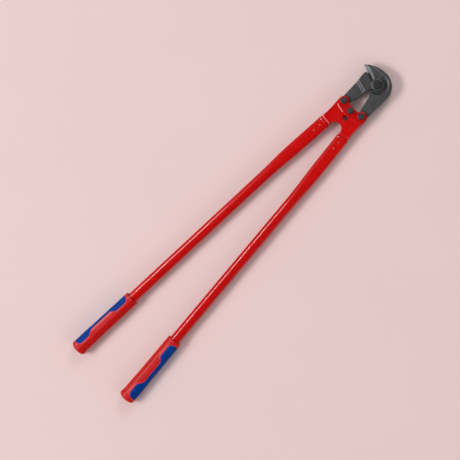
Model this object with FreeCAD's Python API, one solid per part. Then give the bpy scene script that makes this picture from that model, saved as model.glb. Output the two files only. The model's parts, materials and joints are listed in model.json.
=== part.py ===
import FreeCAD, Part

import math
import os

from FreeCAD import Vector

# Long-handled bolt cutters with a hooked upper blade, lying flat with the jaws closed.
# Tool frame used while modelling: origin on the centre bolt at mid thickness, +Y towards the
# jaws, +Z up, the fixed (left) handle on the -X side. Millimetres throughout.

# ---- driving dimensions ----
BLADE_PIVOT_X = 27.1
BLADE_PIVOT_Y = 7.0
JAW_PIVOT = (3.6, 84.8)
MID_HEIGHT = 18.0

LEVER_HALF = 9.5
WEB_HALF = 8.4
PAD_HALF = 8.9
RIM_HALF = 9.4
RIM_INNER_X = 35.2
NECK_HALF = 6.9
CHEEK_INNER = 5.2
TONGUE_HALF = 5.0
TAIL_HALF = 5.0
JAW_HALF = 8.5
LAP_LEVEL = 3.2
BOSS_TOP = 11.0
BOSS_RIM_TOP = 12.1
EDGE_LEVEL = 0.5
HOOK_BEVEL_WIDTH = 10.0
LOWER_BEVEL_WIDTH = 1.6
BEVEL_END_X = -13.6

LOBE_RADIUS = 11.7
LUG_RADIUS = 15.0
LUG_SWEEP_RADIUS = 15.4
TONGUE_RADIUS = 14.0
FRONT_EDGE_Y = 9.4
PARTING_HALF_GAP = 0.15
FORK_FLOOR_Y = -5.0
THROAT_TOP_Y = -38.0
LEFT_WINDOW_REACH = 4.0
RIGHT_WINDOW_REACH = 8.0
SHOULDER_Y = -56.5

BOLT_RADIUS = 5.0
BOLT_HEAD_RADIUS = 7.5
BOLT_HEAD_TOP = 18.0
JAW_BOLT_RADIUS = 7.0
JAW_BOLT_HEAD_RADIUS = 9.5
JAW_BOLT_HEAD_TOP = 17.0
RUNNING_CLEARANCE = 0.05
THRUST_GAP = 0.2
OPEN_PIVOT_TRAVEL = 2.9

HOOK_TOP_Y = 116.9
HOOK_RIGHT_RADIUS = 39.2
HOOK_LEFT_RADIUS = 86.7
HOOK_TIP_X = -52.5
CUT_START = (-52.3, 98.0)
CUT_ANGLE = math.radians(-21.9)
KNUCKLE_RADIUS = 16.0
KNUCKLE_GAP = 0.4
BOSS_RADIUS = 13.2
RECESS_RADIUS = 24.0
SHELF_RADIUS = 27.3
SHELF_END_DEGREES = -104.3
TAIL_EDGE_DEGREES = -86.5

TUBE_RADIUS = 12.0
TUBE_WALL = 2.0
TUBE_OVAL_HALF_WIDTH = 14.2
TUBE_OVAL_HALF_HEIGHT = 8.75
BEND_POINT = (40.2, -193.0)
FRONT_ANGLE = 5.03
REAR_ANGLE = 3.64
MOUTH_RUN = 137.0
OVAL_END_RUN = 40.0
ROUND_START_RUN = 50.0
COLLAR_RUN = 461.0
GRIP_LENGTH = 176.5
TUBE_END_INSET = 12.0
PIN_RUNS = (124.0, 106.0)
PIN_RADIUS = 2.0
INLAY_DEPTH = 2.0
GRIP_SECTIONS = (
    (0.0, 16.9),
    (2.6, 16.9),
    (3.4, 16.2),
    (60.0, 16.6),
    (112.0, 16.7),
    (124.0, 17.5),
    (162.0, 17.8),
    (168.0, 18.3),
    (171.5, 18.0),
    (175.0, 15.8),
    (GRIP_LENGTH, 12.0),
)

LEFT_PIVOT = (-BLADE_PIVOT_X, BLADE_PIVOT_Y)
RIGHT_PIVOT = (BLADE_PIVOT_X, BLADE_PIVOT_Y)
CENTRE = (0.0, 0.0)
UP = Vector(0, 0, 1)
THROUGH = 20.0


# ---- helpers ----
def point(xy, z=0.0):
    return Vector(xy[0], xy[1], z)


def outline(start, *steps):
    """Closed face from straight steps (x, y) and arc steps ((via), (end))."""
    edges = []
    here = start
    for step in steps:
        if isinstance(step[0], tuple):
            via, there = step
            edges.append(Part.Arc(point(here), point(via), point(there)).toShape())
        else:
            there = step
            edges.append(Part.LineSegment(point(here), point(there)).toShape())
        here = there
    if here != start:
        edges.append(Part.LineSegment(point(here), point(start)).toShape())
    return Part.Face(Part.Wire(edges))


def slab(face, low, high):
    solid = face.extrude(Vector(0, 0, high - low))
    solid.translate(Vector(0, 0, low))
    return solid


def sloped_slab(make_face, low, high, run):
    """Solid whose outline moves by run from the high level to the low one, so its wall leans."""
    lower = make_face(run).OuterWire
    upper = make_face(0.0).OuterWire
    lower.translate(Vector(0, 0, low))
    upper.translate(Vector(0, 0, high))
    return Part.makeLoft([lower, upper], True, True)


def disc(centre, radius, low, high):
    return Part.makeCylinder(radius, high - low, point(centre, low))


def through_hole(centre, radius):
    """Cutter for a round hole right through the tool."""
    return disc(centre, radius, -THROUGH, THROUGH)


def block(low, high):
    size = [high[i] - low[i] for i in range(3)]
    return Part.makeBox(*size, Vector(*low))


def both_sides(low, high, make):
    """Two mirrored copies of a feature, above and below the middle plane."""
    upper = make(low, high)
    return upper.fuse(upper.mirror(Vector(0, 0, 0), UP))


def one_solid(shape):
    """The single solid of a boolean result, with split faces joined again."""
    clean = shape.removeSplitter()
    if len(clean.Solids) != 1:
        raise ValueError("expected one solid, got %d" % len(clean.Solids))
    return clean.Solids[0]


def mirrored(shape):
    return shape.mirror(Vector(0, 0, 0), Vector(1, 0, 0))


def cut_line_y(x):
    return CUT_START[1] + math.tan(CUT_ANGLE) * (x - CUT_START[0])


def polar(centre, radius, degrees):
    angle = math.radians(degrees)
    return (centre[0] + radius * math.cos(angle), centre[1] + radius * math.sin(angle))


# ---- handle axis: a straight front stretch, a slight bend, a straight rear stretch ----
def handle_point(run, side=0.0):
    """Point on the right handle; run is measured from the bend, negative towards the head."""
    degrees = REAR_ANGLE if run > 0 else FRONT_ANGLE
    angle = math.radians(degrees)
    along = (math.sin(angle), -math.cos(angle))
    across = (math.cos(angle), math.sin(angle))
    return (
        BEND_POINT[0] + run * along[0] + side * across[0],
        BEND_POINT[1] + run * along[1] + side * across[1],
    )


def oval_wire(run, half_width, half_height):
    """Section square to the handle axis: two side arcs and two flatter top and bottom arcs."""
    if half_width == half_height:
        corner = (half_width * math.sqrt(0.5), half_height * math.sqrt(0.5))
    else:
        side_radius = 0.86 * half_height
        side_centre = half_width - side_radius
        top_radius = (side_centre**2 + half_height**2 - side_radius**2) / (
            2 * (half_height - side_radius)
        )
        reach = top_radius - side_radius
        top_centre = half_height - top_radius
        corner = (
            top_radius * side_centre / reach,
            top_centre - top_radius * top_centre / reach,
        )

    def place(side, height):
        return point(handle_point(run, side), height)

    x, z = corner
    arcs = [
        ((x, -z), (half_width, 0), (x, z)),
        ((x, z), (0, half_height), (-x, z)),
        ((-x, z), (-half_width, 0), (-x, -z)),
        ((-x, -z), (0, -half_height), (x, -z)),
    ]
    return Part.Wire([Part.Arc(*[place(*p) for p in arc]).toShape() for arc in arcs])


def oval_loft(sections):
    return Part.makeLoft([oval_wire(*section) for section in sections], True, True)


# ---- levers ----
def lever_half(low, high):
    """Right lever's outline without its lobe, from the parting line out to the rolled edge."""
    face = outline(
        (PARTING_HALF_GAP, FRONT_EDGE_Y),
        (BLADE_PIVOT_X - 15.0, FRONT_EDGE_Y),
        ((BLADE_PIVOT_X - 11.6, 11.4), (BLADE_PIVOT_X - 9.3, 14.1)),
        (BLADE_PIVOT_X, BLADE_PIVOT_Y),
        (BLADE_PIVOT_X + LOBE_RADIUS, BLADE_PIVOT_Y),
        (39.0, -8.0),
        ((38.3, -26.0), (39.2, -44.0)),
        (41.3, SHOULDER_Y + 1.3),
        (15.2, SHOULDER_Y - 0.8),
        (15.0, -50.0),
        ((10.9, -41.5), (PARTING_HALF_GAP, THROAT_TOP_Y)),
    )
    return slab(face, low, high)


def lever_blank(low, high):
    return lever_half(low, high).fuse(disc(RIGHT_PIVOT, LOBE_RADIUS, low, high))


def square_hole(reach):
    """One lever's share of the square window, out to reach from the parting line."""
    return block((0, -24.0, -LEVER_HALF), (reach, -LUG_RADIUS - 0.2, LEVER_HALF))


def below_strap(drop):
    """Plan area below the strap's curved lower edge, moved down the lever by drop."""
    return outline(
        (-20.0, -11.8 - drop),
        (0.0, -11.8 - drop),
        ((20.0, -10.4 - drop), (45.0, 0.5 - drop)),
        (45.0, -70.0),
        (-20.0, -70.0),
    )


def pad_face(grow):
    """Plan area of the low pad round the square window."""
    return outline(
        (0.0, 0.0),
        (12.5 + grow, 0.0),
        (12.5 + grow, -28.4 - grow),
        ((6.5, -29.9 - grow), (0.0, -30.3 - grow)),
    )


def neck_face(drop):
    """Plan area between the web's curved end and the mouth of the tube."""
    return outline(
        (10.0, -51.5 - drop),
        ((24.0, -50.9 - drop), (46.0, -46.5 - drop)),
        (46.0, -62.0),
        (10.0, -62.0),
    )


def web_relief():
    """Metal above the web: the strap ends in a sloping curve; pad and outer rim stand lower."""
    relief = sloped_slab(below_strap, WEB_HALF, LEVER_HALF, 2.6)
    rim = block((RIM_INNER_X, -47.0, WEB_HALF), (50.0, 0.0, RIM_HALF))
    pad = sloped_slab(pad_face, WEB_HALF, PAD_HALF, 1.4)
    return relief.cut(rim.fuse(pad))


def neck_relief():
    """Metal above the neck that carries the tube, behind the web's sloping end."""
    slope_foot = WEB_HALF - 0.9
    slope_run = 2.0
    slope = sloped_slab(neck_face, slope_foot, WEB_HALF, slope_run)
    below = slab(neck_face(slope_run), NECK_HALF, slope_foot)
    above = slab(neck_face(0.0), WEB_HALF, LEVER_HALF + 1)
    return slope.fuse([below, above])


def lever_reliefs():
    upper = web_relief().fuse(neck_relief())
    return upper.fuse(upper.mirror(Vector(0, 0, 0), UP))


def shank():
    """Oval spigot of the lever that the tube is pressed over."""
    wall = TUBE_WALL
    return oval_loft(
        [
            (-MOUTH_RUN - 6.0, TUBE_OVAL_HALF_WIDTH - wall, TUBE_OVAL_HALF_HEIGHT - wall),
            (-MOUTH_RUN + 50.0, TUBE_OVAL_HALF_WIDTH - wall, TUBE_OVAL_HALF_HEIGHT - wall),
        ]
    )


def pin_holes():
    holes = [through_hole(handle_point(-run), PIN_RADIUS) for run in PIN_RUNS]
    return holes[0].fuse(holes[1:])


def chamfer_outside(solid, size, keep):
    edges = [edge for edge in solid.Edges if keep(edge)]
    return solid.makeChamfer(size, edges)


def finish_lever(body, window_reach):
    """Reliefs on both faces, square window, shank and pin holes, before any mirroring."""
    body = body.cut(lever_reliefs())
    body = body.cut(square_hole(window_reach))
    return body.fuse(shank()).cut(pin_holes())


def fork_blank():
    """Lever with the slot between its cheeks that takes a blade's tail."""
    cheeks = both_sides(CHEEK_INNER, LEVER_HALF, lever_blank)
    slot = block((-1, FORK_FLOOR_Y, -THROUGH), (60, 60, THROUGH))
    return cheeks.fuse(lever_blank(-CHEEK_INNER, CHEEK_INNER).cut(slot))


def behind_front_edge(solid):
    """The part of a lug or tongue that lies behind the levers' front edge."""
    return solid.common(block((-30, -30, -THROUGH), (30, FRONT_EDGE_Y, THROUGH)))


def left_lever():
    """Fork at both ends: cheeks hold the lower blade's tail and the other lever's tongue."""
    tongue_room = disc(CENTRE, LUG_SWEEP_RADIUS, -CHEEK_INNER, CHEEK_INNER)
    body = mirrored(finish_lever(fork_blank().cut(tongue_room), LEFT_WINDOW_REACH))
    lug = both_sides(
        CHEEK_INNER, LEVER_HALF, lambda low, high: disc(CENTRE, LUG_RADIUS, low, high)
    )
    below_pad_level = both_sides(
        PAD_HALF, LEVER_HALF, lambda low, high: slab(below_strap(0.0), low, high)
    )
    body = body.fuse(behind_front_edge(lug).cut(below_pad_level))
    body = body.cut(through_hole(CENTRE, BOLT_RADIUS))
    body = body.cut(through_hole(LEFT_PIVOT, BOLT_RADIUS))
    return one_solid(body)


def right_lever():
    """Fork for the hook blade's tail, and a tongue that turns on the centre bolt."""
    body = finish_lever(fork_blank(), RIGHT_WINDOW_REACH)
    body = body.cut(through_hole(CENTRE, LUG_SWEEP_RADIUS))
    tongue = disc(CENTRE, TONGUE_RADIUS, -TONGUE_HALF, TONGUE_HALF)
    neck_box = block((0, -LUG_SWEEP_RADIUS - 1, -THROUGH), (24, FORK_FLOOR_Y, THROUGH))
    neck = lever_blank(-TONGUE_HALF, TONGUE_HALF).common(neck_box)
    neck = neck.cut(square_hole(RIGHT_WINDOW_REACH))
    body = body.fuse([behind_front_edge(tongue), neck])
    body = body.cut(through_hole(CENTRE, BOLT_RADIUS + RUNNING_CLEARANCE))
    body = body.cut(through_hole(RIGHT_PIVOT, BOLT_RADIUS))
    return one_solid(body)


# ---- blades ----
def lower_blade_outline(low, high):
    face = outline(
        (-15.4, 14.5),
        ((-9.8, 36.0), (-7.2, 55.0)),
        ((-4.2, 63.0), (2.0, 69.8)),
        polar(JAW_PIVOT, BOSS_RADIUS, -78.0),
        (polar(JAW_PIVOT, BOSS_RADIUS, 0.0), polar(JAW_PIVOT, BOSS_RADIUS, 120.0)),
        (-13.5, cut_line_y(-13.5)),
        (-31.6, cut_line_y(-31.6)),
        ((-36.2, 88.2), (-37.7, 83.0)),
        ((-37.6, 74.0), (-36.4, 62.0)),
        (-36.4, 14.5),
    )
    return slab(face, low, high)


def wedge(points, sweep):
    """Prism of a side profile, used to slope a face."""
    return Part.Face(Part.makePolygon(points + [points[0]])).extrude(sweep)


def lower_blade_step(sign):
    """Metal above the tail: two low oblique steps behind the jaw, then an even taper."""
    slope = math.radians(-16.0)
    along = Vector(math.cos(slope), math.sin(slope), 0)
    down = Vector(math.sin(slope), -math.cos(slope), 0)
    start = Vector(-60.0, 71.3, 0)
    top = JAW_HALF + 0.01
    profile = [
        (0.0, top),
        (2.0, 7.65),
        (5.2, 7.6),
        (7.2, 6.75),
        (40.0, TAIL_HALF),
        (120.0, TAIL_HALF),
        (120.0, top),
    ]
    corners = [start + down * run + Vector(0, 0, sign * level) for run, level in profile]
    return wedge(corners, along * 90.0)


def edge_bevel(side, face_level, width, right_x):
    """Metal ground off between the cutting edge and one face; side +1 is the hook, -1 the blade."""
    left_x = -70.0
    margin = 6.0
    along = Vector(math.cos(CUT_ANGLE), math.sin(CUT_ANGLE), 0)
    across = Vector(-math.sin(CUT_ANGLE), math.cos(CUT_ANGLE), 0) * side
    start = Vector(left_x, cut_line_y(left_x), 0)
    length = (right_x - left_x) / math.cos(CUT_ANGLE)
    rise = (face_level - EDGE_LEVEL) / width
    root = start - across * margin + Vector(0, 0, EDGE_LEVEL - margin * rise)
    crest = start + across * width + Vector(0, 0, face_level)
    beyond = start - across * margin + Vector(0, 0, face_level)
    return wedge([root, crest, beyond], along * length)


def lower_blade():
    upper = lower_blade_outline(LAP_LEVEL + THRUST_GAP, JAW_HALF)
    lower = lower_blade_outline(-JAW_HALF, LAP_LEVEL + THRUST_GAP)
    sweep = disc(JAW_PIVOT, KNUCKLE_RADIUS + KNUCKLE_GAP, -THROUGH, LAP_LEVEL + THRUST_GAP)
    shelf_room = slab(
        outline(
            JAW_PIVOT,
            polar(JAW_PIVOT, 28.4, -122.5),
            (polar(JAW_PIVOT, 28.4, -100.0), polar(JAW_PIVOT, 28.4, -80.0)),
        ),
        -THROUGH,
        LAP_LEVEL + THRUST_GAP,
    )
    body = upper.fuse(lower.cut(sweep).cut(shelf_room))
    tail_end = disc(LEFT_PIVOT, LOBE_RADIUS - 1.2, -TAIL_HALF, TAIL_HALF)
    body = body.cut(lower_blade_step(1)).cut(lower_blade_step(-1)).fuse(tail_end)
    boss = disc(JAW_PIVOT, BOSS_RADIUS, JAW_HALF - 1.0, BOSS_RIM_TOP)
    boss = chamfer_outside(boss, 0.6, lambda edge: edge.CenterOfMass.z > BOSS_RIM_TOP - 0.01)
    dish = Part.makeCone(
        JAW_BOLT_HEAD_RADIUS + 0.1,
        BOSS_RADIUS - 0.7,
        BOSS_RIM_TOP - BOSS_TOP,
        point(JAW_PIVOT, BOSS_TOP),
    )
    boss = boss.cut(dish)
    for face_level in (JAW_HALF, -JAW_HALF):
        body = body.cut(edge_bevel(-1, face_level, LOWER_BEVEL_WIDTH, BEVEL_END_X))
    body = body.fuse(boss)
    body = body.cut(through_hole(LEFT_PIVOT, BOLT_RADIUS + RUNNING_CLEARANCE))
    body = body.cut(through_hole(JAW_PIVOT, JAW_BOLT_RADIUS))
    return one_solid(body)


def hook_outline(low, high):
    left_centre_y = HOOK_TOP_Y - HOOK_LEFT_RADIUS
    right_centre_y = HOOK_TOP_Y - HOOK_RIGHT_RADIUS

    def left_top(x):
        return (x, left_centre_y + math.sqrt(HOOK_LEFT_RADIUS**2 - x**2))

    right_centre = (0.0, right_centre_y)
    face = outline(
        CUT_START,
        left_top(HOOK_TIP_X),
        (left_top(-26.0), (0.0, HOOK_TOP_Y)),
        (polar(right_centre, HOOK_RIGHT_RADIUS, 45.0), polar(right_centre, HOOK_RIGHT_RADIUS, 2.0)),
        ((38.5, 60.0), (37.0, 22.0)),
        (RIGHT_PIVOT[0] + 9.8, RIGHT_PIVOT[1]),
        (RIGHT_PIVOT[0] - 9.0, RIGHT_PIVOT[1] + 4.0),
        (15.4, 16.0),
        ((12.2, 29.0), (9.4, 45.0)),
        ((7.5, 51.2), polar(JAW_PIVOT, SHELF_RADIUS, TAIL_EDGE_DEGREES)),
        (polar(JAW_PIVOT, SHELF_RADIUS, -93.0), polar(JAW_PIVOT, SHELF_RADIUS, -99.5)),
        (polar(JAW_PIVOT, 26.6, -103.0), polar(JAW_PIVOT, 24.0, SHELF_END_DEGREES)),
        polar(JAW_PIVOT, KNUCKLE_RADIUS - 2.0, SHELF_END_DEGREES),
        polar(JAW_PIVOT, KNUCKLE_RADIUS - 2.0, 170.0),
        (-13.5, cut_line_y(-13.5)),
    )
    return slab(face, low, high)


def hook_slope(sign):
    """The tail thins evenly from the jaw down to the fork."""
    depth = JAW_HALF + 0.01
    profile = [
        Vector(-60, 62.0, sign * depth),
        Vector(-60, 24.0, sign * TAIL_HALF),
        Vector(-60, -20.0, sign * TAIL_HALF),
        Vector(-60, -20.0, sign * depth),
    ]
    return wedge(profile, Vector(120, 0, 0))


def hook_recess():
    """Pan inside the raised rim, with a steep wall and a broad chamfer along its top edge."""
    wall_run = 5.5
    ridge_run = 1.5
    ridge_foot = JAW_HALF - 0.6
    foot_radius = RECESS_RADIUS - wall_run
    pan = Part.makeCone(
        foot_radius, RECESS_RADIUS, ridge_foot - LAP_LEVEL, point(JAW_PIVOT, LAP_LEVEL)
    )
    ridge = Part.makeCone(
        RECESS_RADIUS,
        RECESS_RADIUS + ridge_run,
        JAW_HALF - ridge_foot,
        point(JAW_PIVOT, ridge_foot),
    )
    wall_top = 107.8
    profile = [
        Vector(-60, wall_top - wall_run, LAP_LEVEL),
        Vector(-60, wall_top, ridge_foot),
        Vector(-60, wall_top + ridge_run, JAW_HALF),
        Vector(-60, 40.0, JAW_HALF),
        Vector(-60, 40.0, LAP_LEVEL),
    ]
    left = wedge(profile, Vector(60 + JAW_PIVOT[0], 0, 0))
    neck = slab(
        outline(
            JAW_PIVOT,
            polar(JAW_PIVOT, 31.0, -150.0),
            (polar(JAW_PIVOT, 31.0, -120.0), polar(JAW_PIVOT, 31.0, TAIL_EDGE_DEGREES)),
        ),
        LAP_LEVEL,
        JAW_HALF,
    )
    return pan.fuse([ridge, left, neck])


def bevel_zone():
    """Plan area ground on the hook: it ends in a rounded run-out beside the boss."""

    def place(run, height):
        return (
            CUT_START[0] + run * math.cos(CUT_ANGLE) - height * math.sin(CUT_ANGLE),
            CUT_START[1] + run * math.sin(CUT_ANGLE) + height * math.cos(CUT_ANGLE),
        )

    face = outline(
        place(-15.0, -8.0),
        place(42.0, -8.0),
        place(41.0, 2.0),
        (place(39.2, 7.0), place(33.0, HOOK_BEVEL_WIDTH + 0.3)),
        place(-15.0, HOOK_BEVEL_WIDTH + 0.3),
    )
    return slab(face, EDGE_LEVEL - 6.0, LAP_LEVEL)


def open_pivot_slot():
    """Short slot in the tail that lets the closed linkage turn freely at its open pivot."""
    narrow = BOLT_RADIUS + 0.1
    wide = BOLT_RADIUS + 0.3
    drift = 0.4
    x, y = RIGHT_PIVOT
    slot_end = (x + OPEN_PIVOT_TRAVEL, y + drift)
    between = block((x, y - narrow, -THROUGH), (slot_end[0], y + narrow + 0.5, THROUGH))
    return through_hole(RIGHT_PIVOT, narrow).fuse([through_hole(slot_end, wide), between])


def hook_blade():
    body = hook_outline(-JAW_HALF, JAW_HALF)
    knuckle = disc(JAW_PIVOT, KNUCKLE_RADIUS, -JAW_HALF, JAW_HALF)
    body = body.fuse(knuckle).cut(hook_recess())
    body = body.cut(hook_slope(1)).cut(hook_slope(-1))
    body = body.fuse(disc(RIGHT_PIVOT, 9.8, -TAIL_HALF, TAIL_HALF))
    bevel_end = -KNUCKLE_RADIUS + JAW_PIVOT[0] - 1.5
    bevel = edge_bevel(1, LAP_LEVEL, HOOK_BEVEL_WIDTH, bevel_end)
    body = body.cut(bevel.common(bevel_zone()))
    body = body.cut(edge_bevel(1, -JAW_HALF, HOOK_BEVEL_WIDTH, bevel_end))
    body = body.cut(open_pivot_slot())
    body = body.cut(through_hole(JAW_PIVOT, JAW_BOLT_RADIUS + RUNNING_CLEARANCE))
    return one_solid(body)


# ---- fasteners ----
def bolt(centre, radius, head_radius, seat, head_top, tip):
    head = disc(centre, head_radius, seat, head_top)
    head = chamfer_outside(head, 0.9, lambda edge: edge.CenterOfMass.z > head_top - 0.01)
    body = disc(centre, radius, tip, seat)
    body = chamfer_outside(body, 0.6, lambda edge: edge.CenterOfMass.z < tip + 0.01)
    return one_solid(head.fuse(body))


def washer(centre, radius, hole, top, thickness):
    return disc(centre, radius, top - thickness, top).cut(disc(centre, hole, -30, 30))


def hex_nut(centre, across_flats, hole, top, bottom):
    corner = across_flats / math.sqrt(3)
    points = [point(polar(centre, corner, 30 + 60 * i), bottom) for i in range(6)]
    prism = Part.Face(Part.makePolygon(points + [points[0]])).extrude(Vector(0, 0, top - bottom))
    bevel = Part.makeCone(
        across_flats / 2 - 0.2, across_flats / 2 + 3.8, 2.2, point(centre, bottom)
    ).fuse(disc(centre, across_flats / 2 + 3.8, bottom + 2.2, top))
    return one_solid(prism.common(bevel).cut(disc(centre, hole, -30, 30)))


def lever_fastener_set(prefix, centre):
    """Bolt with a round head on top, washer and nut underneath a lever."""
    washer_thickness = 1.5
    nut_top = -LEVER_HALF - washer_thickness
    return {
        prefix + "_bolt": bolt(
            centre, BOLT_RADIUS, BOLT_HEAD_RADIUS, LEVER_HALF, BOLT_HEAD_TOP, -MID_HEIGHT + 0.4
        ),
        prefix + "_washer": washer(centre, 9.0, BOLT_RADIUS, -LEVER_HALF, washer_thickness),
        prefix + "_nut": hex_nut(centre, 16.0, BOLT_RADIUS, nut_top, -MID_HEIGHT),
    }


def jaw_fastener_set():
    washer_top = -JAW_HALF - THRUST_GAP
    washer_thickness = 2.0
    return {
        "jaw_bolt": bolt(
            JAW_PIVOT,
            JAW_BOLT_RADIUS,
            JAW_BOLT_HEAD_RADIUS,
            BOSS_TOP,
            JAW_BOLT_HEAD_TOP,
            -MID_HEIGHT + 0.4,
        ),
        "jaw_washer": washer(JAW_PIVOT, 13.0, JAW_BOLT_RADIUS, washer_top, washer_thickness),
        "jaw_nut": hex_nut(
            JAW_PIVOT, 22.0, JAW_BOLT_RADIUS, washer_top - washer_thickness, -MID_HEIGHT
        ),
    }


# ---- handles (right one modelled, left one mirrored) ----
def tube():
    tube_end = COLLAR_RUN + GRIP_LENGTH - TUBE_END_INSET

    def skin(wall):
        oval = (TUBE_OVAL_HALF_WIDTH - wall, TUBE_OVAL_HALF_HEIGHT - wall)
        radius = TUBE_RADIUS - wall
        return oval_loft(
            [
                (-MOUTH_RUN, *oval),
                (-OVAL_END_RUN, *oval),
                (ROUND_START_RUN, radius, radius),
                (tube_end, radius, radius),
            ]
        )

    return one_solid(skin(0.0).cut(skin(TUBE_WALL)).cut(pin_holes()))


def tube_pins():
    pins = []
    for run in PIN_RUNS:
        pin = disc(
            handle_point(-run), PIN_RADIUS, -TUBE_OVAL_HALF_HEIGHT - 0.3, TUBE_OVAL_HALF_HEIGHT + 0.3
        )
        pins.append(pin)
    return Part.makeCompound(pins)


def grip_blank(inset=0.0):
    sections = []
    for run, radius in GRIP_SECTIONS:
        half_height = min(radius, MID_HEIGHT - 0.6) - inset
        half_width = radius - inset
        if half_width - half_height < 0.2:
            half_height = half_width
        sections.append((COLLAR_RUN + run, half_width, half_height))
    return oval_loft(sections)


def inlay_prism():
    """Plan shape of the soft inlay: two lobes that reach the top, and a narrow waist."""

    def place(run, side):
        return handle_point(COLLAR_RUN + run, side)

    waist = 9.5
    face = outline(
        place(9.0, 26.0),
        place(9.0, 8.0),
        (place(12.5, 2.2), place(20.0, 0.0)),
        place(46.0, 0.0),
        (place(52.0, 2.0), place(58.0, waist)),
        place(118.0, waist),
        (place(124.0, 2.0), place(131.0, 0.0)),
        place(155.0, 0.0),
        (place(162.0, 3.0), place(164.5, 9.0)),
        place(164.5, 26.0),
    )
    return slab(face, -30, 30)


def grip_parts():
    blank = grip_blank()
    pocket = inlay_prism().cut(grip_blank(INLAY_DEPTH))
    bore_length = GRIP_LENGTH - TUBE_END_INSET
    bore = oval_loft(
        [
            (COLLAR_RUN - 1.0, TUBE_RADIUS, TUBE_RADIUS),
            (COLLAR_RUN + bore_length, TUBE_RADIUS, TUBE_RADIUS),
        ]
    )
    grip = one_solid(blank.cut(bore).cut(pocket))
    inlay = one_solid(blank.common(pocket))
    return grip, inlay


# ---- assembly ----
def build():
    grip, inlay = grip_parts()
    shapes = {
        "left_lever": left_lever(),
        "right_lever": right_lever(),
        "lower_blade": lower_blade(),
        "hook_blade": hook_blade(),
        "right_tube": tube(),
        "right_tube_pins": tube_pins(),
        "right_grip": grip,
        "right_grip_inlay": inlay,
    }
    for name in ("tube", "tube_pins", "grip", "grip_inlay"):
        shapes["left_" + name] = mirrored(shapes["right_" + name])
    shapes.update(lever_fastener_set("centre", CENTRE))
    shapes.update(lever_fastener_set("left_blade", LEFT_PIVOT))
    shapes.update(lever_fastener_set("right_blade", RIGHT_PIVOT))
    shapes.update(jaw_fastener_set())
    return shapes


def centre_shift():
    """Carries the tool frame to the row frame: middle of the length, resting on Z = 0."""
    end_radius = GRIP_SECTIONS[-1][1]
    end = handle_point(COLLAR_RUN + GRIP_LENGTH, -end_radius)
    return Vector(0, -(HOOK_TOP_Y + end[1]) / 2, MID_HEIGHT)


def main():
    os.makedirs("parts", exist_ok=True)
    shift = centre_shift()
    for name, shape in build().items():
        shape.translate(shift)
        shape.exportStep("parts/%s.step" % name)
    print("head offset along Y: %.3f" % shift.y)


main()
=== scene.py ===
import json
import math

import bpy
from mathutils import Euler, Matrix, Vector


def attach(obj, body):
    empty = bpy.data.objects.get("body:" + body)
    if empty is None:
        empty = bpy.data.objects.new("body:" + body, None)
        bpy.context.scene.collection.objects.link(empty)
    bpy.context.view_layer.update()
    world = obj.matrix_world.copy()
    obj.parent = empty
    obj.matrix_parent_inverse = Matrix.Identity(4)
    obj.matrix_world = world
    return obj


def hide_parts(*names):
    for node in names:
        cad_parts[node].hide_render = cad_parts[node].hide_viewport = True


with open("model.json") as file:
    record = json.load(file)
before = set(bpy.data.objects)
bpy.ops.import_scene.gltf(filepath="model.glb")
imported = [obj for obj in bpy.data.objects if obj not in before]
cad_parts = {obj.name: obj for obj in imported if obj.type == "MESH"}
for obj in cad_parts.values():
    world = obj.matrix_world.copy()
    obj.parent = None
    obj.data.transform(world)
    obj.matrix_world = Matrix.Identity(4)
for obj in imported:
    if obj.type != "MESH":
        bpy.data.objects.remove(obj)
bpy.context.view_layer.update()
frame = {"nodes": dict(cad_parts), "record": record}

# Looks for the long-handled bolt cutters. Metres, in the frame of the CAD model: +Y towards the
# jaws, +Z up, resting on Z = 0. Forged and turned CAD parts stay and get rounded edges and
# materials; tubes, grips and inlays are rebuilt here as fine meshes over their CAD solids.

MM = 0.001

JOINTS = {joint["name"]: joint for joint in frame["record"]["behaviour"]["joints"]}
HEAD = Vector(JOINTS["handle_pivot"]["pos_m"])
JAW_PIVOT = Vector(JOINTS["jaw_pivot"]["pos_m"])
LEFT, RIGHT = -1, 1
SIDE_NAMES = {LEFT: "left", RIGHT: "right"}
BODY_OF_SIDE = {LEFT: "left_handle", RIGHT: "right_handle"}

# ---- handle geometry, in millimetres from the centre bolt, on the right-hand side ----
BEND_POINT = (40.2, -193.0)
FRONT_ANGLE = math.radians(5.03)
REAR_ANGLE = math.radians(3.64)
MOUTH_RUN = -136.6
OVAL_END_RUN = -40.0
ROUND_START_RUN = 50.0
COLLAR_RUN = 461.0
GRIP_LENGTH = 176.5
TUBE_RADIUS = 12.0
OVAL_HALF_WIDTH = 14.2
OVAL_HALF_HEIGHT = 8.75
OVAL_POWER = 3.2

# ---- pins that hold a tube on its lever, in millimetres ----
PIN_RUNS = (-124.0, -106.0)
PIN_RADIUS = 2.0
PIN_DOME = 1.2

# ---- blades: the cutting edge, in millimetres from the centre bolt, and the ground areas ----
EDGE_START = (-52.3, 98.0)
EDGE_ANGLE = math.radians(-21.9)
HOOK_GRIND = (22.5, 18.5, 10.2)
LOWER_GRIND = (22.0, 19.5, 1.8)
# inner and outer radius of the painted highlight ring on the boss round the jaw bolt
BOSS_HIGHLIGHT_RADII = (10.9, 13.5)
CONVEX_START = 0.52
CONVEX_FULL = 0.58

# ---- grips: facet direction in degrees round the axis, and its distance in millimetres ----
FACETS = (
    (90, 16.4),
    (-90, 16.4),
    (136, 15.8),
    (-136, 15.8),
    (180, 16.6),
    (50, 16.5),
    (-50, 16.5),
    (20, 16.7),
    (-20, 16.7),
)
FACET_POWER = 26.0
WAIST_SIDE = 9.5
LOBE_SIDE = 0.0
# point attribute that carries the painted highlight on the bead round the inlay
BEAD_HIGHLIGHT_ATTRIBUTE = "bead"
BEAD_HEIGHT = 0.7
SEAT_DEPTH = 0.9
GRIP_MEAN_RADIUS = 16.5
BLUE_START = 8.5
BLUE_END = 164.5
DOME_START = 169.5

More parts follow.
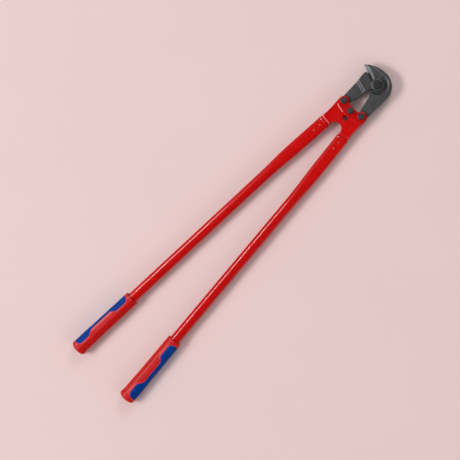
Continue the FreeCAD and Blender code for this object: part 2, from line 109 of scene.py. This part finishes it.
# ---- camera, and lights as name, place, target, size, watts, lights matt surfaces, shows in gloss ----
CAMERA_AZIMUTH = math.radians(110.723)
CAMERA_ELEVATION = math.radians(80.290)
CAMERA_ROLL = math.radians(-66.885)
CAMERA_DISTANCE = 3.00395
CAMERA_AIM = Vector((-0.01374, -0.02693, 0.018))
CAMERA_LENS = 102.88
LIGHTS = (
    ("strip_left", (-1.95, -0.85, 1.95), (0, -0.75, 0), (1.6, 0.3), 70, False, True),
    ("key_rear", (-1.95, -2.75, 3.6), (0, 0.1, 0), (2.3, 1.3), 136, True, True),
    ("soft_front", (-0.9, 2.5, 2.3), (0, 0.2, 0), (1.8, 1.6), 30, True, True),
    ("fill_right", (2.4, 0.2, 1.7), (0, 0, 0), (2.4, 1.6), 16, True, False),
)
WORLD_STRENGTH = 0.34
FLOOR_HALF_SIZE = 12.0
FLOOR_DROP = 0.0002


# ---- small helpers ----
def handle_frame(run):
    """Centre of the right handle's axis and its sideways unit vector, for a run from the bend."""
    angle = REAR_ANGLE if run > 0 else FRONT_ANGLE
    centre = Vector((BEND_POINT[0], BEND_POINT[1], 0))
    centre += run * Vector((math.sin(angle), -math.cos(angle), 0))
    return centre, Vector((math.cos(angle), math.sin(angle), 0))


def smooth_step(low, high, value):
    t = min(1.0, max(0.0, (value - low) / (high - low)))
    return t * t * (3 - 2 * t)


def mix(a, b, t):
    return a + (b - a) * t


def to_frame(point, side):
    """Millimetres from the centre bolt to metres in the row frame, mirrored for the left side."""
    return HEAD + Vector((side * point.x, point.y, point.z)) * MM


def mesh_object(name, points, faces, side=RIGHT):
    mesh = bpy.data.meshes.new(name)
    if side == LEFT:
        faces = [tuple(reversed(face)) for face in faces]
    mesh.from_pydata([tuple(to_frame(point, side)) for point in points], [], faces)
    mesh.polygons.foreach_set("use_smooth", [True] * len(mesh.polygons))
    mesh.update()
    piece = bpy.data.objects.new(name, mesh)
    bpy.context.scene.collection.objects.link(piece)
    return piece


def rings_to_faces(ring_count, around, closed_ring=True):
    faces = []
    steps = around if closed_ring else around - 1
    for i in range(ring_count - 1):
        for j in range(steps):
            k = (j + 1) % around
            faces.append(
                (i * around + j, i * around + k, (i + 1) * around + k, (i + 1) * around + j)
            )
    return faces


def capped(faces, ring_count, around):
    first = tuple(reversed(range(around)))
    last = tuple((ring_count - 1) * around + j for j in range(around))
    return faces + [first, last]


# ---- procedural materials ----
class Nodes:
    """Short helper round a material's node tree."""

    def __init__(self, name):
        self.material = bpy.data.materials.new(name)
        self.material.use_nodes = True
        self.tree = self.material.node_tree
        self.shader = self.tree.nodes["Principled BSDF"]
        self.place = self.add("ShaderNodeTexCoord").outputs["Object"]

    def add(self, kind, **settings):
        node = self.tree.nodes.new(kind)
        for key, value in settings.items():
            setattr(node, key, value)
        return node

    def link(self, output, socket):
        self.tree.links.new(output, socket)

    def noise(self, scale, detail=4.0, roughness=0.55, stretch=None):
        node = self.add("ShaderNodeTexNoise")
        node.inputs["Scale"].default_value = scale
        node.inputs["Detail"].default_value = detail
        node.inputs["Roughness"].default_value = roughness
        source = self.place
        if stretch:
            mapping = self.add("ShaderNodeMapping")
            mapping.inputs["Scale"].default_value = stretch
            mapping.inputs["Rotation"].default_value = (0, 0, -EDGE_ANGLE)
            self.link(source, mapping.inputs["Vector"])
            source = mapping.outputs["Vector"]
        self.link(source, node.inputs["Vector"])
        return node.outputs["Fac"]

    def ramp(self, value, low, high, start, end):
        node = self.add("ShaderNodeMapRange")
        for key, number in zip(("From Min", "From Max", "To Min", "To Max"), (low, high, start, end)):
            node.inputs[key].default_value = number
        self.link(value, node.inputs["Value"])
        return node.outputs["Result"]

    def cloud(self, scale, detail=4.0, roughness=0.55, stretch=None):
        """Noise spread over the whole range from 0 to 1."""
        return self.ramp(self.noise(scale, detail, roughness, stretch), 0.3, 0.7, 0.0, 1.0)

    def uneven_roughness(self, scale, detail, low, high):
        self.link(self.patchy(scale, detail, low, high), self.shader.inputs["Roughness"])

    def patchy(self, scale, detail, low, high):
        return self.ramp(self.noise(scale, detail), 0.25, 0.75, low, high)

    def math(self, operation, first, second):
        node = self.add("ShaderNodeMath", operation=operation)
        for socket, value in zip(node.inputs, (first, second)):
            if isinstance(value, (int, float)):
                socket.default_value = value
            else:
                self.link(value, socket)
        return node.outputs["Value"]

    def blend(self, factor, first, second):
        node = self.add("ShaderNodeMix", data_type="RGBA")
        self.link(factor, node.inputs["Factor"])
        for socket, colour in ((node.inputs[6], first), (node.inputs[7], second)):
            if isinstance(colour, tuple):
                socket.default_value = (*colour, 1.0)
            else:
                self.link(colour, socket)
        return node.outputs[2]

    def bump(self, height, distance, strength=1.0):
        node = self.add("ShaderNodeBump")
        node.inputs["Distance"].default_value = distance
        node.inputs["Strength"].default_value = strength
        self.link(height, node.inputs["Height"])
        self.link(node.outputs["Normal"], self.shader.inputs["Normal"])

    def set(self, **values):
        for key, value in values.items():
            self.shader.inputs[key.replace("_", " ")].default_value = value


def gloss_paint():
    """Hard red powder coat: faint orange peel, slightly uneven colour, tight gloss."""
    n = Nodes("red_paint")
    cloud = n.cloud(38, 5)
    colour = n.blend(cloud, (0.53, 0.0006, 0.0005), (0.61, 0.001, 0.0008))
    n.link(colour, n.shader.inputs["Base Color"])
    n.uneven_roughness(160, 3, 0.26, 0.34)
    n.set(Specular_IOR_Level=0.16, Coat_Weight=0.4, Coat_Roughness=0.08)
    n.bump(n.noise(900, 2), 0.00006, 0.3)
    return n.material


def grip_plastic():
    """Satin moulded plastic with a fine spark-eroded texture, and a painted highlight: lighter
    orange-red on the bead round the inlay.
    """
    n = Nodes("grip_red")
    cloud = n.cloud(55, 4)
    colour = n.blend(cloud, (0.53, 0.002, 0.001), (0.61, 0.003, 0.002))
    # painted highlight: the bead round the inlay is coloured a lighter orange-red
    rim = n.add("ShaderNodeAttribute", attribute_name=BEAD_HIGHLIGHT_ATTRIBUTE)
    colour = n.blend(rim.outputs["Fac"], colour, (0.86, 0.045, 0.022))
    n.link(colour, n.shader.inputs["Base Color"])
    n.uneven_roughness(420, 3, 0.34, 0.46)
    n.set(Specular_IOR_Level=0.28)
    n.bump(n.noise(1500, 3, 0.65), 0.00008, 0.4)
    return n.material


def soft_rubber():
    """Blue soft-touch inlay with a tight pebbled grain."""
    n = Nodes("grip_blue")
    cloud = n.cloud(70, 4)
    colour = n.blend(cloud, (0.0003, 0.036, 0.22), (0.0005, 0.050, 0.30))
    n.link(colour, n.shader.inputs["Base Color"])
    n.uneven_roughness(300, 3, 0.42, 0.56)
    n.set(Specular_IOR_Level=0.05)
    pebbles = n.add("ShaderNodeTexVoronoi", feature="SMOOTH_F1")
    pebbles.inputs["Scale"].default_value = 1100
    n.link(n.place, pebbles.inputs["Vector"])
    n.bump(pebbles.outputs["Distance"], 0.00012, 0.5)
    return n.material


def edge_coordinate(n, axis):
    """Millimetres along an axis from the start of the cutting line, from object coordinates."""
    start = HEAD + Vector((EDGE_START[0], EDGE_START[1], 0)) * MM
    dot = n.add("ShaderNodeVectorMath", operation="DOT_PRODUCT")
    dot.inputs[1].default_value = axis
    n.link(n.place, dot.inputs[0])
    offset = start.dot(Vector(axis))
    return n.math("MULTIPLY", n.math("SUBTRACT", dot.outputs["Value"], offset), 1 / MM)


def ground_area(n, grind):
    """1 inside the ground area beside the cutting line, a long rounded leaf; 0 elsewhere."""
    middle, half_length, half_width = grind
    along = (math.cos(EDGE_ANGLE), math.sin(EDGE_ANGLE), 0)
    across = (-math.sin(EDGE_ANGLE), math.cos(EDGE_ANGLE), 0)
    run = n.math("DIVIDE", n.math("SUBTRACT", edge_coordinate(n, along), middle), half_length)
    rise = n.math("DIVIDE", edge_coordinate(n, across), half_width)
    powers = [n.math("POWER", n.math("ABSOLUTE", value, 0), 3) for value in (run, rise)]
    return n.ramp(n.math("ADD", *powers), 0.88, 1.06, 1, 0)


def painted_boss_highlight(n):
    """1 on the rim of the boss round the jaw bolt, where a lighter colour is painted as a highlight; 0
    elsewhere.
    """
    flat = n.add("ShaderNodeVectorMath", operation="MULTIPLY")
    flat.inputs[1].default_value = (1, 1, 0)
    n.link(n.place, flat.inputs[0])
    distance = n.add("ShaderNodeVectorMath", operation="DISTANCE")
    distance.inputs[1].default_value = (JAW_PIVOT.x, JAW_PIVOT.y, 0)
    n.link(flat.outputs["Vector"], distance.inputs[0])
    inner, outer = BOSS_HIGHLIGHT_RADII
    fade = 0.4
    inside = n.ramp(distance.outputs["Value"], (inner - fade) * MM, inner * MM, 0, 1)
    outside = n.ramp(distance.outputs["Value"], outer * MM, (outer + fade) * MM, 1, 0)
    return n.math("MULTIPLY", inside, outside)


def worn_edges(n, amount):
    """Rubbed edges: convex places, broken up by noise."""
    geometry = n.add("ShaderNodeNewGeometry")
    convex = n.ramp(geometry.outputs["Pointiness"], CONVEX_START, CONVEX_FULL, 0, 1)
    patches = n.ramp(n.noise(140, 5), 0.35, 0.6, 0.25, 1.0)
    return n.math("MULTIPLY", n.math("MULTIPLY", convex, patches), amount)


def blade_steel(name, grind, paints_boss_highlight):
    """Dark forged steel with rubbed edges, ground bright beside the cutting line; the lower blade also
    gets a painted highlight, a lighter ring on the boss rim round the jaw bolt.
    """
    n = Nodes(name)
    scale_map = n.cloud(90, 6, 0.62)
    forged = n.blend(scale_map, (0.048, 0.048, 0.051), (0.078, 0.078, 0.081))
    forged = n.blend(worn_edges(n, 0.55), forged, (0.21, 0.21, 0.215))
    if paints_boss_highlight:
        # painted highlight: a lighter ring on the boss rim round the jaw bolt
        forged = n.blend(painted_boss_highlight(n), forged, (0.125, 0.128, 0.13))
    strokes = n.cloud(260, 4, 0.6, stretch=(1.0, 0.08, 1.0))
    ground = n.blend(strokes, (0.088, 0.091, 0.091), (0.130, 0.134, 0.134))
    mask = ground_area(n, grind)
    n.link(n.blend(mask, forged, ground), n.shader.inputs["Base Color"])
    rough = n.patchy(240, 4, 0.38, 0.5)
    n.link(n.math("SUBTRACT", rough, n.math("MULTIPLY", mask, 0.1)), n.shader.inputs["Roughness"])
    n.set(Metallic=0.4)
    n.bump(n.noise(520, 5, 0.6), 0.00015, 0.35)
    return n.material


def phosphate_steel(name, dark, light):
    """Phosphated fastener finish: mottled between a dark and a lighter tone, rubbed at edges."""
    n = Nodes(name)
    cloud = n.cloud(300, 5)
    colour = n.blend(cloud, dark, light)
    colour = n.blend(worn_edges(n, 0.5), colour, (0.16, 0.19, 0.18))
    n.link(colour, n.shader.inputs["Base Color"])
    n.uneven_roughness(500, 4, 0.34, 0.5)
    n.set(Metallic=0.5)
    n.bump(n.noise(900, 4), 0.0001, 0.3)
    return n.material


def pin_metal():
    """Riveted pin ends: a lighter, pinker red than the paint, partly metallic."""
    n = Nodes("pin_metal")
    cloud = n.cloud(400, 4)
    n.link(n.blend(cloud, (0.60, 0.12, 0.10), (0.70, 0.20, 0.17)), n.shader.inputs["Base Color"])
    n.uneven_roughness(600, 3, 0.25, 0.38)
    n.set(Metallic=0.3)
    n.bump(n.noise(900, 3), 0.00008, 0.3)
    return n.material


def floor_material():
    n = Nodes("floor_paper")
    cloud = n.ramp(n.noise(3, 2), 0.2, 0.8, 0.0, 1.0)
    colour = n.blend(cloud, (0.80, 0.60, 0.58), (0.82, 0.62, 0.60))
    n.link(colour, n.shader.inputs["Base Color"])
    n.set(Roughness=0.9)
    return n.material


# ---- carried-over CAD parts: rounded edges and a material ----
def finish_node(node, material, voxel, rounds):
    """Rounds every edge of a CAD part, as forging and coating do; flat faces stay in place."""
    piece = frame["nodes"][node]
    remesh = piece.modifiers.new("even_mesh", "REMESH")
    remesh.mode = "VOXEL"
    remesh.voxel_size = voxel * MM
    remesh.use_smooth_shade = True
    soften = piece.modifiers.new("soft_edges", "SMOOTH")
    soften.factor = 0.5
    soften.iterations = rounds
    piece.data.materials.clear()
    piece.data.materials.append(material)


# ---- handle tubes ----
def oval_point(run, angle, half_width, half_height, power):
    """Superellipse section: power 2 is round, higher is flatter on top."""
    c, s = math.cos(angle), math.sin(angle)
    reach = (abs(c) ** power + abs(s) ** power) ** (-1 / power)
    centre, across = handle_frame(run)
    return centre + across * (c * reach * half_width) + Vector((0, 0, s * reach * half_height))


def tube_section(run):
    """Half width, half height and section power along the tube."""
    t = smooth_step(OVAL_END_RUN - 12, ROUND_START_RUN, run)
    return (
        mix(OVAL_HALF_WIDTH, TUBE_RADIUS, t),
        mix(OVAL_HALF_HEIGHT, TUBE_RADIUS, t),
        mix(OVAL_POWER, 2.0, t),
    )


def tube_rings():
    """Runs and insets: a rolled lip at the mouth, then the body of the tube."""
    lip = [(0.9, 1.9), (0.25, 1.4), (0.0, 0.7), (0.15, 0.1), (0.5, -0.35), (1.0, -0.6)]
    lip += [(1.4, -0.62), (1.9, -0.52), (2.6, -0.28), (3.3, -0.06)]
    steps = 60
    start = MOUTH_RUN + 4.0
    stop = COLLAR_RUN + 8.0
    rings = [(start, 2.0)]
    rings += [(MOUTH_RUN + run, inset) for run, inset in lip]
    rings += [(mix(start, stop, i / steps), 0.0) for i in range(steps + 1)]
    return rings


def tube(side, material):
    around = 96
    points = []
    rings = tube_rings()
    for run, inset in rings:
        half_width, half_height, power = tube_section(run)
        for j in range(around):
            angle = 2 * math.pi * j / around
            points.append(
                oval_point(run, angle, half_width - inset, half_height - inset, power)
            )
    faces = rings_to_faces(len(rings), around)
    piece = mesh_object(SIDE_NAMES[side] + "_handle_tube", points, faces, side)
    solid = piece.modifiers.new("wall", "SOLIDIFY")
    solid.thickness = -0.4 * MM
    piece.data.materials.append(material)
    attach(piece, BODY_OF_SIDE[side])
    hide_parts(SIDE_NAMES[side] + "_tube")
    return piece


def tube_pins(side, material):
    """Domed ends of the two pins that hold a tube on its lever, above and below."""
    around = 24
    top = OVAL_HALF_HEIGHT + 0.15
    tilts = (0.0, 0.4, 0.8, 1.15, 1.45)
    dome = [(PIN_RADIUS * math.cos(tilt), top + PIN_DOME * math.sin(tilt)) for tilt in tilts]
    profile = [(radius, -height) for radius, height in reversed(dome)] + dome
    points = []
    faces = []
    for run in PIN_RUNS:
        centre, _ = handle_frame(run)
        base = len(points)
        for radius, height in profile:
            for j in range(around):
                angle = 2 * math.pi * j / around
                offset = Vector((radius * math.cos(angle), radius * math.sin(angle), height))
                points.append(centre + offset)
        rings = capped(rings_to_faces(len(profile), around), len(profile), around)
        faces += [tuple(base + index for index in face) for face in rings]
    piece = mesh_object(SIDE_NAMES[side] + "_domed_pins", points, faces, side)
    piece.data.materials.append(material)
    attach(piece, BODY_OF_SIDE[side])
    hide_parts(SIDE_NAMES[side] + "_tube_pins")
    return piece


# ---- grips ----
def facet_radius(angle):
    """Rounded polygon section of the grip: flat top, softer outer side."""
    total = 0.0
    for degrees, distance in FACETS:
        cosine = math.cos(angle - math.radians(degrees))
        if cosine > 0:
            total += (cosine / distance) ** FACET_POWER
    return total ** (-1 / FACET_POWER)


def grip_profile(run):
    """Scale of the section along the grip, 1 at mid length; run starts at the collar."""
    swell = mix(0.985, 1.0, smooth_step(0, 70, run))
    swell += 0.045 * smooth_step(108, 128, run)
    swell += 0.03 * smooth_step(158, 169, run)
    dome = max(0.0, run - DOME_START) / (GRIP_LENGTH - DOME_START)
    swell *= math.sqrt(max(0.0, 1 - 0.55 * dome**2.4))
    collar = 1 - smooth_step(2.4, 3.4, run)
    lip = min(1.0, run / 0.9)
    swell += 0.035 * collar * math.sqrt(lip * (2 - lip))
    return swell


def boundary_side(run):
    """How far the inlay's edge lies from the grip's axis on the outer side."""
    waist = smooth_step(44, 59, run) * (1 - smooth_step(116, 133, run))
    side = mix(LOBE_SIDE, WAIST_SIDE, waist)
    collar_end = max(0.0, (BLUE_START + 9 - run) / 9)
    butt_end = max(0.0, (run - (BLUE_END - 13)) / 13)
    rounding = max(collar_end, butt_end)
    if rounding >= 1:
        return GRIP_MEAN_RADIUS
    return side + (GRIP_MEAN_RADIUS - side) * (1 - math.sqrt(1 - rounding**2.2))


def rib_depth(run, angle):
    """Shallow scallops on the inner side of the grip, towards the butt."""
    inner = smooth_step(0.35, 0.85, -math.cos(angle))
    under = smooth_step(-0.12, 0.2, -math.sin(angle))
    stretch = smooth_step(62, 78, run) * (1 - smooth_step(158, 166, run))
    ribs = 1.1 * under * stretch * (0.5 - 0.5 * math.cos(2 * math.pi * run / 9.5))
    flare = 1.2 * smooth_step(156, 168, run) * (1 - smooth_step(170, 175, run))
    return inner * (ribs - flare)


def grip_surface(run, angle, lift=0.0):
    radius = facet_radius(angle) * grip_profile(run) - rib_depth(run, angle) + lift
    limit = HEAD.z / MM - 0.1
    height = max(-limit, min(limit, radius * math.sin(angle)))
    centre, across = handle_frame(COLLAR_RUN + run)
    return centre + across * (radius * math.cos(angle)) + Vector((0, 0, height))


def boundary_angle(run):
    """Angle of the inlay's upper edge round the grip's axis."""
    side = boundary_side(run)
    low, high = 0.0, math.pi / 2 + 0.3
    for _ in range(24):
        middle = (low + high) / 2
        if facet_radius(middle) * grip_profile(run) * math.cos(middle) > side:
            low = middle
        else:
            high = middle
    return low


def grip_runs():
    fine = [0.0, 0.2, 0.5, 0.9, 1.5, 2.2, 2.6, 2.9, 3.2, 3.6]
    runs = fine + [4.4 + 1.0 * i for i in range(165)]
    dome_steps = 9
    runs = [run for run in runs if run < DOME_START]
    for i in range(dome_steps + 1):
        t = math.sin(math.pi / 2 * i / dome_steps)
        runs.append(mix(DOME_START, GRIP_LENGTH, t))
    return runs


def bell(distance):
    """Smooth hump across the bead, by millimetres from the inlay's edge."""
    return math.exp(-(((distance - 1.1) / 0.85) ** 2))


def bead_share(run, angle, edge):
    """1 on the bead that borders the inlay, fading to 0 on both sides."""
    past_end = max(BLUE_START - run, run - BLUE_END)
    if past_end > 0:
        return bell(past_end) * (1 - smooth_step(0.9, 1.3, abs(angle)))
    return bell((abs(angle) - edge) * GRIP_MEAN_RADIUS)


def bead_height(run, angle, edge):
    """Raised bead on the red plastic just outside the inlay, and a sunk seat under it."""
    height = BEAD_HEIGHT * bead_share(run, angle, edge)
    if BLUE_START <= run <= BLUE_END:
        inside = (edge - abs(angle)) * GRIP_MEAN_RADIUS
        height -= SEAT_DEPTH * smooth_step(0.5, 1.6, inside)
    return height


def grip_skin(runs, around):
    """Points of the grip's outside, ring by ring, and how much each lies on the bead, which sets the
    bead's painted highlight.
    """
    points = []
    bead_highlight_shares = []
    for run in runs:
        edge = boundary_angle(min(max(run, BLUE_START), BLUE_END))
        for j in range(around):
            angle = 2 * math.pi * j / around
            signed = angle if angle <= math.pi else angle - 2 * math.pi
            points.append(grip_surface(run, signed, bead_height(run, signed, edge)))
            bead_highlight_shares.append(bead_share(run, signed, edge))
    return points, bead_highlight_shares


def add_bore(points, faces, around):
    """Short bore at the collar, where the tube goes in, closed at its far end."""
    base = len(points)
    radius = TUBE_RADIUS + 0.05
    depth = 12.0
    for run in (0.0, depth):
        centre, across = handle_frame(COLLAR_RUN + run)
        for j in range(around):
            angle = 2 * math.pi * j / around
            offset = across * (radius * math.cos(angle)) + Vector((0, 0, radius * math.sin(angle)))
            points.append(centre + offset)
    for j in range(around):
        k = (j + 1) % around
        faces.append((base + j, base + k, k, j))
        faces.append((base + around + j, base + around + k, base + k, base + j))
    faces.append(tuple(base + around + j for j in reversed(range(around))))


def add_butt(points, faces, around, butt):
    """Slightly crowned end face, as rings that shrink from the last ring of the skin."""
    tip, _ = handle_frame(COLLAR_RUN + GRIP_LENGTH)
    along = Vector((math.sin(REAR_ANGLE), -math.cos(REAR_ANGLE), 0))
    ring = [butt + j for j in range(around)]
    for shrink, rise in ((0.8, 0.025), (0.55, 0.05), (0.3, 0.065)):
        start = len(points)
        for j in range(around):
            points.append(tip + (points[butt + j] - tip) * shrink + along * rise)
        for j in range(around):
            k = (j + 1) % around
            faces.append((ring[j], ring[k], start + k, start + j))
        ring = [start + j for j in range(around)]
    faces.append(tuple(ring))


def grip(side, material):
    around = 160
    runs = grip_runs()
    points, bead_highlight_shares = grip_skin(runs, around)
    faces = rings_to_faces(len(runs), around)
    add_bore(points, faces, around)
    add_butt(points, faces, around, (len(runs) - 1) * around)
    piece = mesh_object(SIDE_NAMES[side] + "_grip_shell", points, faces, side)
    # painted highlight on the bead, stored as a point attribute
    bead = piece.data.attributes.new(BEAD_HIGHLIGHT_ATTRIBUTE, "FLOAT", "POINT")
    bead.data.foreach_set("value", bead_highlight_shares + [0.0] * (len(points) - len(bead_highlight_shares)))
    piece.data.materials.append(material)
    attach(piece, BODY_OF_SIDE[side])
    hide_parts(SIDE_NAMES[side] + "_grip")
    return piece


def inlay_runs():
    """Closely spaced rows at both rounded ends of the inlay, 1 mm apart between them."""
    end_gap = 0.05
    runs = [BLUE_START + end_gap + 0.35 * i for i in range(30)]
    last = runs[-1]
    runs += [last + i for i in range(1, int(BLUE_END - last - 9))]
    last = runs[-1]
    return runs + [mix(last, BLUE_END - end_gap, i / 26) for i in range(1, 27)]


def inlay(side, material):
    """Soft inlay: a pad over the outer side whose rim dips into the seat."""
    across_count = 40
    runs = inlay_runs()
    sunk = -0.75
    crown = 1.0
    points = []
    for run in runs:
        edge = boundary_angle(run) + 0.012
        end_fade = min(1.0, (run - BLUE_START) / 2.2, (BLUE_END - run) / 2.2)
        for j in range(across_count):
            t = -1 + 2 * j / (across_count - 1)
            angle = edge * math.sin(t * math.pi / 2)
            rim = (1 - abs(angle) / edge) * edge * GRIP_MEAN_RADIUS
            lift = sunk + crown * math.sqrt(min(1.0, rim / 2.0)) * math.sqrt(max(0.0, end_fade))
            points.append(grip_surface(run, angle, lift))
    faces = rings_to_faces(len(runs), across_count, closed_ring=False)
    piece = mesh_object(SIDE_NAMES[side] + "_soft_inlay", points, faces, side)
    solid = piece.modifiers.new("thickness", "SOLIDIFY")
    solid.thickness = 0.5 * MM
    solid.offset = -1
    piece.data.materials.append(material)
    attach(piece, BODY_OF_SIDE[side])
    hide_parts(SIDE_NAMES[side] + "_grip_inlay")
    return piece


# ---- stage ----
def look_at(obj, target):
    direction = Vector(target) - obj.location
    obj.rotation_euler = direction.to_track_quat("-Z", "Y").to_euler()


def softbox(name, location, target, size, watts):
    data = bpy.data.lights.new(name, "AREA")
    data.shape = "RECTANGLE"
    data.size, data.size_y = size
    data.energy = watts
    light = bpy.data.objects.new(name, data)
    light.location = location
    look_at(light, target)
    bpy.context.scene.collection.objects.link(light)
    return light


def stage_floor():
    corners = [(-1, -1), (1, -1), (1, 1), (-1, 1)]
    points = [(x * FLOOR_HALF_SIZE, y * FLOOR_HALF_SIZE, 0) for x, y in corners]
    mesh = bpy.data.meshes.new("floor")
    mesh.from_pydata(points, [], [(0, 1, 2, 3)])
    floor = bpy.data.objects.new("floor", mesh)
    bpy.context.scene.collection.objects.link(floor)
    floor.location.z = -FLOOR_DROP
    mesh.materials.append(floor_material())


def lights():
    for name, place, target, size, watts, on_matt, in_gloss in LIGHTS:
        light = softbox(name, place, target, size, watts)
        light.visible_diffuse = on_matt
        light.visible_glossy = in_gloss
    world = bpy.data.worlds.new("studio")
    world.use_nodes = True
    world.cycles_visibility.glossy = False
    background = world.node_tree.nodes["Background"]
    background.inputs["Color"].default_value = (0.95, 0.96, 1.0, 1.0)
    background.inputs["Strength"].default_value = WORLD_STRENGTH
    bpy.context.scene.world = world


def camera():
    """High view, a little from the head's right: the tool runs from lower left to upper right."""
    back = Vector(
        (
            math.sin(CAMERA_AZIMUTH) * math.cos(CAMERA_ELEVATION),
            -math.cos(CAMERA_AZIMUTH) * math.cos(CAMERA_ELEVATION),
            math.sin(CAMERA_ELEVATION),
        )
    )
    data = bpy.data.cameras.new("camera")
    data.lens = CAMERA_LENS
    data.sensor_width = 36.0
    cam = bpy.data.objects.new("camera", data)
    cam.location = CAMERA_AIM + back * CAMERA_DISTANCE
    level = (-back).to_track_quat("-Z", "Y")
    cam.rotation_mode = "QUATERNION"
    cam.rotation_quaternion = level @ Euler((0, 0, CAMERA_ROLL)).to_quaternion()
    bpy.context.scene.collection.objects.link(cam)
    bpy.context.scene.camera = cam


# ---- build ----
def dress_cad_parts(paint):
    """Materials and rounded edges for levers, blades and every bolt, washer and nut."""
    steel = phosphate_steel("fastener_steel", (0.042, 0.042, 0.039), (0.072, 0.072, 0.068))
    jaw_steel = phosphate_steel("jaw_bolt_steel", (0.026, 0.027, 0.028), (0.042, 0.043, 0.044))
    hook_steel = blade_steel("hook_steel", HOOK_GRIND, False)
    lower_steel = blade_steel("lower_blade_steel", LOWER_GRIND, True)
    forged = (
        ("left_lever", paint, 0.5, 5),
        ("right_lever", paint, 0.5, 5),
        ("hook_blade", hook_steel, 0.43, 3),
        ("lower_blade", lower_steel, 0.43, 3),
    )
    for node, material, voxel, rounds in forged:
        finish_node(node, material, voxel, rounds)
    for prefix in ("centre", "left_blade", "right_blade", "jaw"):
        finish = jaw_steel if prefix == "jaw" else steel
        for kind in ("bolt", "washer", "nut"):
            finish_node(prefix + "_" + kind, finish, 0.3, 3)


def main():
    bpy.context.scene.view_settings.view_transform = "Standard"
    paint = gloss_paint()
    plastic = grip_plastic()
    rubber = soft_rubber()
    pin_finish = pin_metal()
    dress_cad_parts(paint)
    for side in (LEFT, RIGHT):
        tube(side, paint)
        tube_pins(side, pin_finish)
        grip(side, plastic)
        inlay(side, rubber)
    stage_floor()
    lights()
    camera()


main()
